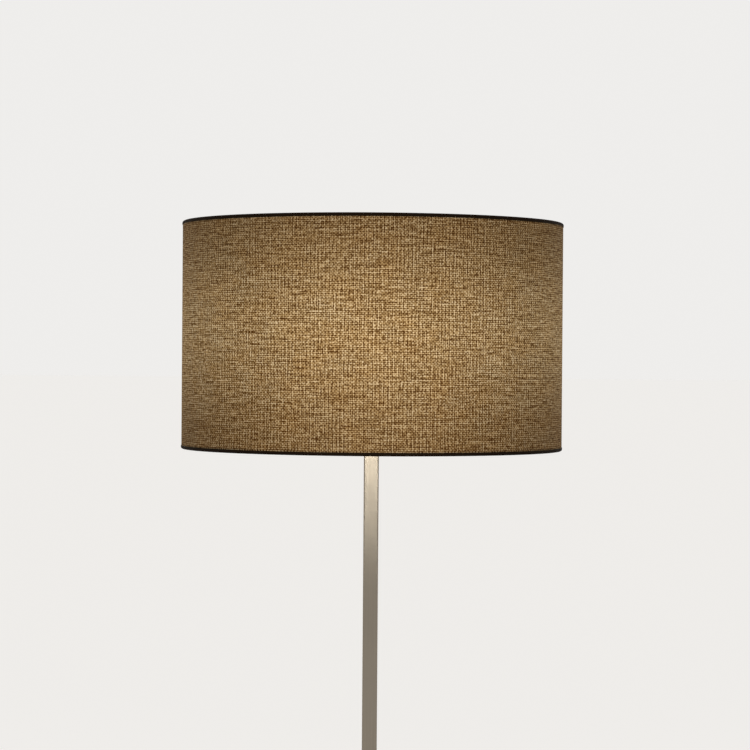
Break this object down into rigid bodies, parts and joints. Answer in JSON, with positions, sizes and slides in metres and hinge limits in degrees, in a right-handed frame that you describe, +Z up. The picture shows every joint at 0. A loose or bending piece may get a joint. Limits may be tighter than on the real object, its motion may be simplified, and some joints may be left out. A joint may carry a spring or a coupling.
{
  "type": "floor lamp",
  "caption": "Straight floor lamp: linen drum shade on a wire harp and spider, square brushed-metal stem, turn-knob lampholder, weighted square base.",
  "frame": {"origin": "on the floor under the centre of the stem, at the bottom centre of the bounding box", "axes": "+Z up along the stem, -Y the front with the switch knob, +Y the back with the cord inlet, +X to the right seen from the front"},
  "size_m": [0.5079, 0.508, 1.575],
  "materials": {
    "stem_steel": "satin, brushed along the stem",
    "inner_steel": "black oxide",
    "zinc_steel": "bright zinc plate",
    "cast_iron": "rough casting, dark primer",
    "felt": "pressed felt",
    "bush_plastic": "moulded nylon",
    "block_plastic": "moulded nylon",
    "brass": "bright turned brass",
    "lead_insulation": "smooth insulation",
    "nickel": "nickel plate",
    "sleeve_fibre": "waxed fibre",
    "phenolic": "moulded phenolic",
    "bulb_glass": "frosted, lit warm white",
    "clear_glass": "clear",
    "bulb_metal": "rolled thin metal",
    "black_glass": "opaque black",
    "solder": "dull solder",
    "filament_metal": "tungsten",
    "frame_wire": "white lacquered wire",
    "linen": "slub linen weave, lit from inside",
    "rim_tape": "dark woven tape",
    "liner": "translucent, lit from inside"
  },
  "bodies": {
    "stand": {"lower_tube": "stem_steel", "middle_tube": "stem_steel", "upper_tube": "stem_steel", "stem_cap": "stem_steel", "base_cover": "stem_steel", "lower_tube_foot_plug": "inner_steel", "lower_tube_head_plug": "inner_steel", "middle_tube_foot_plug": "inner_steel", "middle_tube_head_plug": "inner_steel", "upper_tube_foot_plug": "inner_steel", "upper_tube_head_plug": "inner_steel", "base_plate": "inner_steel", "clamp_washer": "zinc_steel", "clamp_nut": "zinc_steel", "base_screws": "zinc_steel", "base_pipe": "zinc_steel", "lower_joint_pipe": "zinc_steel", "upper_joint_pipe": "zinc_steel", "top_pipe": "zinc_steel", "grub_screw": "zinc_steel", "base_weight": "cast_iron", "foot_pad_1": "felt", "foot_pad_2": "felt", "foot_pad_3": "felt", "foot_pad_4": "felt", "cord_bush": "bush_plastic", "terminal_block": "block_plastic", "block_screws": "brass", "terminal_screws": "brass", "centre_contact": "brass", "screw_shell": "brass", "live_lead": "lead_insulation", "neutral_lead": "lead_insulation", "harp": "nickel", "harp_saddle": "nickel", "holder_cap": "nickel", "holder_shell": "nickel", "insulating_sleeve": "sleeve_fibre", "holder_body": "phenolic"},
    "switch_knob": {"switch_knob": "phenolic", "switch_shaft": "nickel"},
    "harp_ferrule_left": {"harp_ferrule_left": "nickel"},
    "harp_ferrule_right": {"harp_ferrule_right": "nickel"},
    "bulb": {"bulb_glass": "bulb_glass", "bulb_cap": "bulb_metal", "bulb_foot": "black_glass", "bulb_tip": "solder", "bulb_mount": "clear_glass", "filament": "filament_metal"},
    "shade": {"harp_swivel": "nickel", "shade_spider": "frame_wire", "bottom_ring": "frame_wire", "shade_fabric": "linen", "shade_liner": "liner", "upper_rim_tape": "rim_tape", "lower_rim_tape": "rim_tape"},
    "finial": {"finial": "stem_steel"}
  },
  "joints": [
    {"name": "switch_knob_turn", "type": "hinge", "parent": "stand", "child": "switch_knob", "pos_m": [0, -0.0225, 1.3299], "axis": [0, -1, 0], "continuous": true},
    {"name": "harp_ferrule_left_slide", "type": "slide", "parent": "stand", "child": "harp_ferrule_left", "axis": [0, 0, 1], "range_m": [0, 0.014]},
    {"name": "harp_ferrule_right_slide", "type": "slide", "parent": "stand", "child": "harp_ferrule_right", "axis": [0, 0, 1], "range_m": [0, 0.014]},
    {"name": "bulb_unscrew", "type": "slide", "parent": "stand", "child": "bulb", "axis": [0, 0, 1], "range_m": [0, 0.03]},
    {"name": "shade_turn", "type": "hinge", "parent": "stand", "child": "shade", "pos_m": [0, 0, 1.5529], "axis": [0, 0, 1], "continuous": true},
    {"name": "finial_unscrew", "type": "slide", "parent": "shade", "child": "finial", "axis": [0, 0, 1], "range_m": [0, 0.013]}
  ]
}
